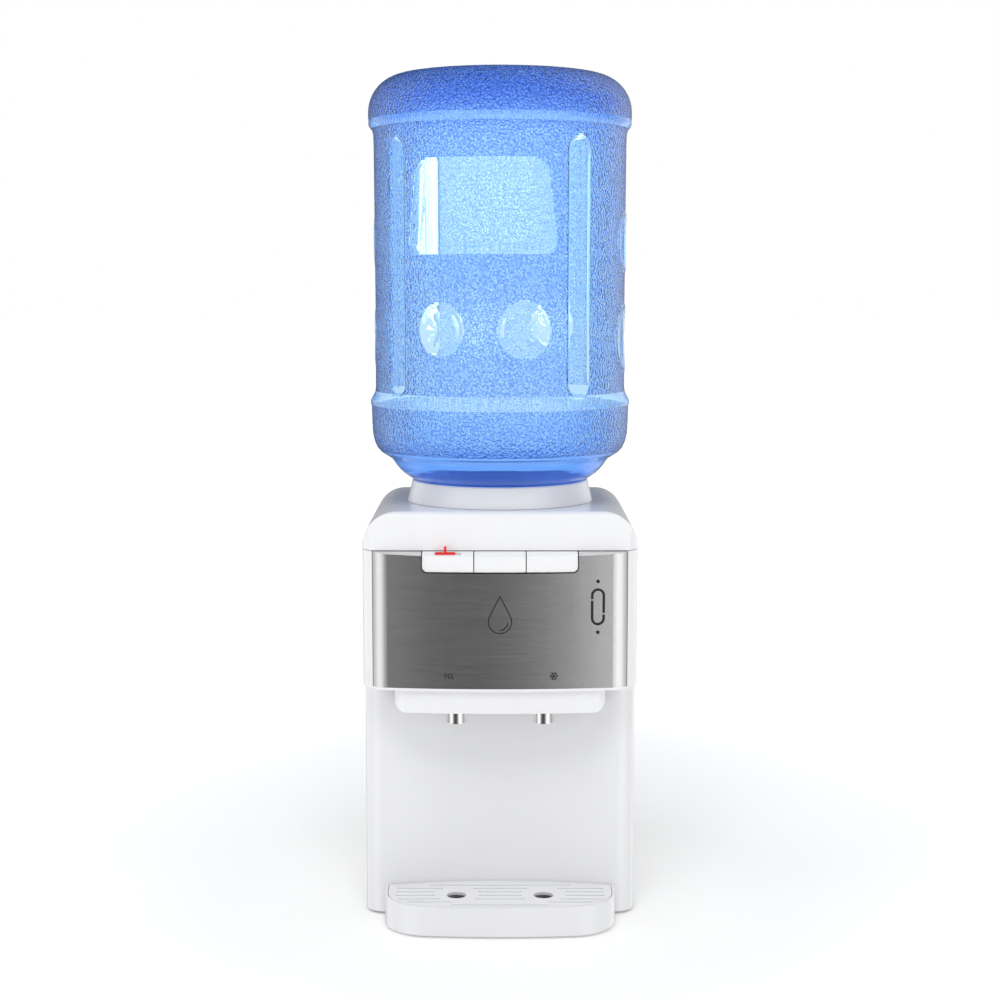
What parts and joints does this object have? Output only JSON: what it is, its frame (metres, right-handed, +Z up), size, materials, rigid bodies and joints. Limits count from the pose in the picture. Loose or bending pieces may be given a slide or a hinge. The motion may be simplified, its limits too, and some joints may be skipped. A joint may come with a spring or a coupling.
{
  "type": "countertop water dispenser",
  "caption": "Countertop water dispenser with an inverted bottle, a row of press keys, chrome spouts over a drip tray, and a steel fascia.",
  "frame": {"origin": "on the table, at the centre of the overall box", "axes": "+Z up, -Y towards the user, +X to the user's right"},
  "size_m": [0.276, 0.305, 0.857],
  "materials": {
    "white_housing": "satin white moulded ABS",
    "white_keys": "smooth glossy white",
    "brushed_fascia": "fine horizontal brushing, satin",
    "chrome_spouts": "polished",
    "grey_plastic": "plain moulded",
    "white_inner": "plain food-grade moulding",
    "dark_marks": "smooth dark",
    "black_plastic": "fine moulded texture",
    "rubber": "matt",
    "silicone": "milky, smooth",
    "spring_steel": "bright zinc plate",
    "tank_steel": "drawn stainless sheet",
    "aluminium": "extruded",
    "foam": "rigid closed-cell foam",
    "board": "solder mask",
    "red_plastic": "smooth",
    "green_plastic": "smooth",
    "blue_bottle": "clear tinted polycarbonate with a hammered texture",
    "pale_cap": "soft moulded"
  },
  "bodies": {
    "housing": {"base_plate": "grey_plastic", "rubber_feet": "rubber", "lower_front_panel": "white_housing", "left_side_panel": "white_housing", "right_side_panel": "white_housing", "rear_panel": "white_housing", "top_cover": "white_housing", "head_floor": "white_housing", "front_fascia": "brushed_fascia", "fascia_carrier": "grey_plastic", "nozzle_cover": "white_housing", "drop_emblem": "dark_marks", "indicator_ring": "dark_marks", "key_rod": "spring_steel", "hot_valve": "white_inner", "room_valve": "white_inner", "cold_valve": "white_inner", "hot_spring": "spring_steel", "room_spring": "spring_steel", "cold_spring": "spring_steel", "hot_spout": "chrome_spouts", "cold_spout": "chrome_spouts", "spout_manifold": "grey_plastic", "water_cup": "white_inner", "cup_seal": "rubber", "cold_tank": "tank_steel", "tank_foam": "foam", "cold_block": "aluminium", "peltier": "white_inner", "heatsink": "aluminium", "fan_frame": "black_plastic", "hot_tank": "tank_steel", "heater_band": "tank_steel", "power_board": "board", "power_inlet": "black_plastic", "water_hoses": "silicone", "drain_pipes": "white_inner", "rear_screws": "spring_steel", "base_screws": "spring_steel"},
    "receiver": {"receiver": "white_housing", "probe": "white_inner"},
    "bottle": {"bottle": "blue_bottle", "bottle_cap": "pale_cap"},
    "hot_key": {"hot_key": "white_keys"},
    "room_key": {"room_key": "white_keys"},
    "cold_key": {"cold_key": "white_keys"},
    "hot_lock": {"hot_lock": "red_plastic"},
    "hot_plunger": {"hot_plunger": "grey_plastic"},
    "room_plunger": {"room_plunger": "grey_plastic"},
    "cold_plunger": {"cold_plunger": "grey_plastic"},
    "drip_tray": {"drip_tray": "white_housing"},
    "drip_grille": {"drip_grille": "white_housing"},
    "fan_rotor": {"fan_rotor": "black_plastic"},
    "hot_switch": {"hot_switch": "red_plastic"},
    "cold_switch": {"cold_switch": "green_plastic"},
    "hot_drain_cap": {"hot_drain_cap": "white_inner"},
    "cold_drain_cap": {"cold_drain_cap": "white_inner"}
  },
  "joints": [
    {"name": "receiver_lift", "type": "slide", "parent": "housing", "child": "receiver", "axis": [0, 0, 1], "range_m": [0, 0.11]},
    {"name": "bottle_lift", "type": "slide", "parent": "receiver", "child": "bottle", "axis": [0, 0, 1], "range_m": [0, 0.12]},
    {"name": "hot_key_press", "type": "hinge", "parent": "housing", "child": "hot_key", "pos_m": [-0.05167, -0.0687, 0.368], "axis": [1, 0, 0], "range_deg": [0, 7], "stiffness_Nm_per_rad": 1.5, "springref_deg": -2.86},
    {"name": "room_key_press", "type": "hinge", "parent": "housing", "child": "room_key", "pos_m": [0, -0.0687, 0.368], "axis": [1, 0, 0], "range_deg": [0, 7], "stiffness_Nm_per_rad": 1.5, "springref_deg": -2.86},
    {"name": "cold_key_press", "type": "hinge", "parent": "housing", "child": "cold_key", "pos_m": [0.05167, -0.0687, 0.368], "axis": [1, 0, 0], "range_deg": [0, 7], "stiffness_Nm_per_rad": 1.5, "springref_deg": -2.86},
    {"name": "hot_plunger_slide", "type": "slide", "parent": "housing", "child": "hot_plunger", "axis": [0, 0, -1], "range_m": [0, 0.0036], "deforming": ["hot_spring"]},
    {"name": "room_plunger_slide", "type": "slide", "parent": "housing", "child": "room_plunger", "axis": [0, 0, -1], "range_m": [0, 0.0036], "deforming": ["room_spring"]},
    {"name": "cold_plunger_slide", "type": "slide", "parent": "housing", "child": "cold_plunger", "axis": [0, 0, -1], "range_m": [0, 0.0036], "deforming": ["cold_spring"]},
    {"name": "hot_lock_slide", "type": "slide", "parent": "hot_key", "child": "hot_lock", "axis": [1, 0, 0], "range_m": [0, 0.005]},
    {"name": "tray_slide", "type": "slide", "parent": "housing", "child": "drip_tray", "axis": [0, -1, 0], "range_m": [0, 0.09]},
    {"name": "grille_lift", "type": "slide", "parent": "drip_tray", "child": "drip_grille", "axis": [0, 0, 1], "range_m": [0, 0.06]},
    {"name": "fan_spin", "type": "hinge", "parent": "housing", "child": "fan_rotor", "pos_m": [0, 0.112, 0.29], "axis": [0, 1, 0], "continuous": true},
    {"name": "hot_rocker", "type": "hinge", "parent": "housing", "child": "hot_switch", "pos_m": [0.052, 0.1405, 0.052], "axis": [1, 0, 0], "range_deg": [0, 16]},
    {"name": "cold_rocker", "type": "hinge", "parent": "housing", "child": "cold_switch", "pos_m": [0.03, 0.1405, 0.052], "axis": [1, 0, 0], "range_deg": [0, 16]},
    {"name": "hot_drain_pull", "type": "slide", "parent": "housing", "child": "hot_drain_cap", "axis": [0, 1, 0], "range_m": [0, 0.02]},
    {"name": "cold_drain_pull", "type": "slide", "parent": "housing", "child": "cold_drain_cap", "axis": [0, 1, 0], "range_m": [0, 0.02]}
  ],
  "couplings": [
    {"joint": "hot_plunger_slide", "follows": "hot_key_press", "m_per_rad": 0.0288},
    {"joint": "room_plunger_slide", "follows": "room_key_press", "m_per_rad": 0.0288},
    {"joint": "cold_plunger_slide", "follows": "cold_key_press", "m_per_rad": 0.0288}
  ]
}
